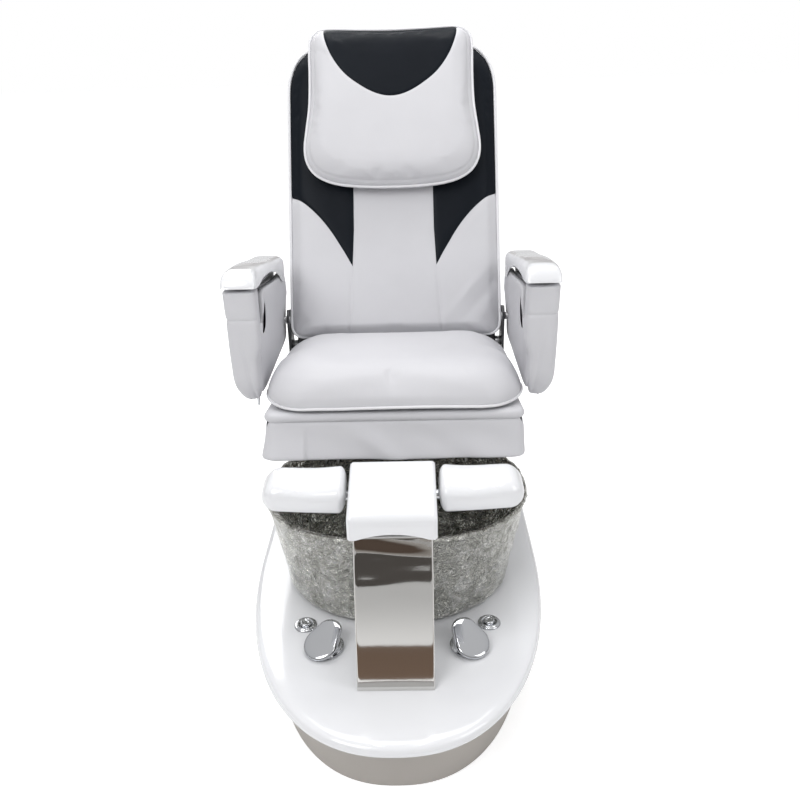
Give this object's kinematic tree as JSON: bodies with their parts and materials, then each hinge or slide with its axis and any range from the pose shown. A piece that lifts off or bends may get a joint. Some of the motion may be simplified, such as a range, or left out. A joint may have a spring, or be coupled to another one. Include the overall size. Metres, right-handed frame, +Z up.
{
  "type": "pedicure spa chair",
  "caption": "Pedicure spa chair with foot bowl, stainless front plate, tilting footrest wings, sliding seat, reclining massage back, lift-up arms and head pillow.",
  "frame": {"origin": "centre of the bounding box in plan, on the floor", "axes": "+X to the viewer's right when facing the chair, +Y towards the rear, +Z up; the chair faces -Y"},
  "size_m": [0.7458, 1.4916, 1.3911],
  "materials": {
    "gelcoat": "high gloss moulded gelcoat",
    "plinth": "satin beige-grey moulding",
    "bowl_glass": "smoky silver cast resin with a crackled face",
    "mirror_steel": "mirror polished stainless sheet",
    "chrome": "bright chrome plate",
    "frame_steel": "satin black powder coat",
    "bright_steel": "ground and zinc plated steel",
    "white_leather": "fine grained soft vinyl leather",
    "black_leather": "fine grained blue-black vinyl leather",
    "shell_grey": "fine textured moulded plastic",
    "dark_plastic": "moulded black plastic",
    "rubber": "black rubber",
    "plywood": "birch plywood"
  },
  "bodies": {
    "base": {"base_deck": "gelcoat", "plinth_skirt": "plinth", "sill_left": "frame_steel", "sill_right": "frame_steel", "sill_cross_front": "frame_steel", "sill_cross_rear": "frame_steel", "levelling_feet": "rubber", "deck_posts": "frame_steel", "pedestal_moulding": "gelcoat", "access_panel": "gelcoat", "pedestal_plate": "frame_steel", "bowl": "bowl_glass", "waste_strainer": "chrome", "jet_fitting": "chrome", "drain_pump": "dark_plastic", "pipework": "rubber", "rear_stubs": "chrome", "valve_bodies": "chrome", "front_plate": "mirror_steel", "column_outer": "frame_steel", "button_rings": "chrome", "slide_rails": "bright_steel"},
    "footrest": {"column_inner": "bright_steel", "cross_tube": "chrome", "saddle": "gelcoat"},
    "left_wing": {"wing_left": "gelcoat"},
    "right_wing": {"wing_right": "gelcoat"},
    "left_handle": {"handle_left": "chrome"},
    "right_handle": {"handle_right": "chrome"},
    "left_button": {"button_left": "chrome"},
    "right_button": {"button_right": "chrome"},
    "carriage": {"channel_left": "frame_steel", "channel_right": "frame_steel", "seat_frame_left": "frame_steel", "seat_frame_right": "frame_steel", "seat_pan": "plywood", "seat_cushion": "white_leather", "seat_apron": "white_leather", "hinge_bracket_left": "frame_steel", "hinge_bracket_right": "frame_steel", "pivot_pins": "bright_steel", "actuator_body": "dark_plastic"},
    "push_rod": {"actuator_rod": "bright_steel"},
    "back": {"back_frame_left": "frame_steel", "back_frame_right": "frame_steel", "back_torque_tube": "frame_steel", "back_cushion": "white_leather", "rear_shell": "shell_grey", "massage_rails": "bright_steel"},
    "massager": {"massage_carriage": "dark_plastic"},
    "kneader": {"massage_rollers": "dark_plastic"},
    "pillow": {"head_pillow": "white_leather"},
    "left_arm": {"arm_frame_left": "frame_steel", "arm_shell_left": "white_leather", "arm_cap_left": "gelcoat"},
    "right_arm": {"arm_frame_right": "frame_steel", "arm_shell_right": "white_leather", "arm_cap_right": "gelcoat"},
    "latch": {"arm_latch": "chrome"}
  },
  "joints": [
    {"name": "footrest_height", "type": "slide", "parent": "base", "child": "footrest", "axis": [0, 0.2924, 0.9563], "range_m": [0, 0.05]},
    {"name": "left_wing_tilt", "type": "hinge", "parent": "footrest", "child": "left_wing", "pos_m": [-0.18, -0.42082, 0.521], "axis": [1, 0, 0], "range_deg": [-20, 20]},
    {"name": "right_wing_tilt", "type": "hinge", "parent": "footrest", "child": "right_wing", "pos_m": [0.18, -0.42082, 0.521], "axis": [1, 0, 0], "range_deg": [-20, 20]},
    {"name": "left_handle_turn", "type": "hinge", "parent": "base", "child": "left_handle", "pos_m": [-0.152, -0.47182, 0.178], "axis": [0, 0, 1], "range_deg": [-45, 45]},
    {"name": "right_handle_turn", "type": "hinge", "parent": "base", "child": "right_handle", "pos_m": [0.152, -0.47182, 0.178], "axis": [0, 0, 1], "range_deg": [-45, 45]},
    {"name": "left_button_press", "type": "slide", "parent": "base", "child": "left_button", "axis": [0, 0, -1], "range_m": [0, 0.004], "stiffness_N_per_m": 1500, "springref_m": -0.004},
    {"name": "right_button_press", "type": "slide", "parent": "base", "child": "right_button", "axis": [0, 0, -1], "range_m": [0, 0.004], "stiffness_N_per_m": 1500, "springref_m": -0.004},
    {"name": "seat_slide", "type": "slide", "parent": "base", "child": "carriage", "axis": [0, 1, 0], "range_m": [-0.04, 0.08]},
    {"name": "back_recline", "type": "hinge", "parent": "carriage", "child": "back", "pos_m": [0, 0.29418, 0.59], "axis": [-1, 0, 0], "range_deg": [-10, 35]},
    {"name": "push_rod_travel", "type": "slide", "parent": "carriage", "child": "push_rod", "axis": [0, -1, 0], "range_m": [-0.018, 0.058]},
    {"name": "massage_travel", "type": "slide", "parent": "back", "child": "massager", "axis": [0, 0.4384, 0.8988], "range_m": [0, 0.3]},
    {"name": "kneader_spin", "type": "hinge", "parent": "massager", "child": "kneader", "pos_m": [0, 0.44765, 0.85449], "axis": [1, 0, 0], "continuous": true},
    {"name": "pillow_flip", "type": "hinge", "parent": "back", "child": "pillow", "pos_m": [0, 0.59772, 1.37431], "axis": [-1, 0, 0], "range_deg": [0, 150]},
    {"name": "left_arm_lift", "type": "hinge", "parent": "carriage", "child": "left_arm", "pos_m": [-0.315, 0.27418, 0.668], "axis": [-1, 0, 0], "range_deg": [0, 75]},
    {"name": "right_arm_lift", "type": "hinge", "parent": "carriage", "child": "right_arm", "pos_m": [0.315, 0.27418, 0.668], "axis": [-1, 0, 0], "range_deg": [0, 75]},
    {"name": "latch_pull", "type": "hinge", "parent": "left_arm", "child": "latch", "pos_m": [-0.321, -0.08982, 0.652], "axis": [1, 0, 0], "range_deg": [0, 25], "stiffness_Nm_per_rad": 0.4, "springref_deg": -11.46}
  ],
  "couplings": [
    {"joint": "push_rod_travel", "follows": "back_recline", "m_per_rad": 0.092}
  ]
}
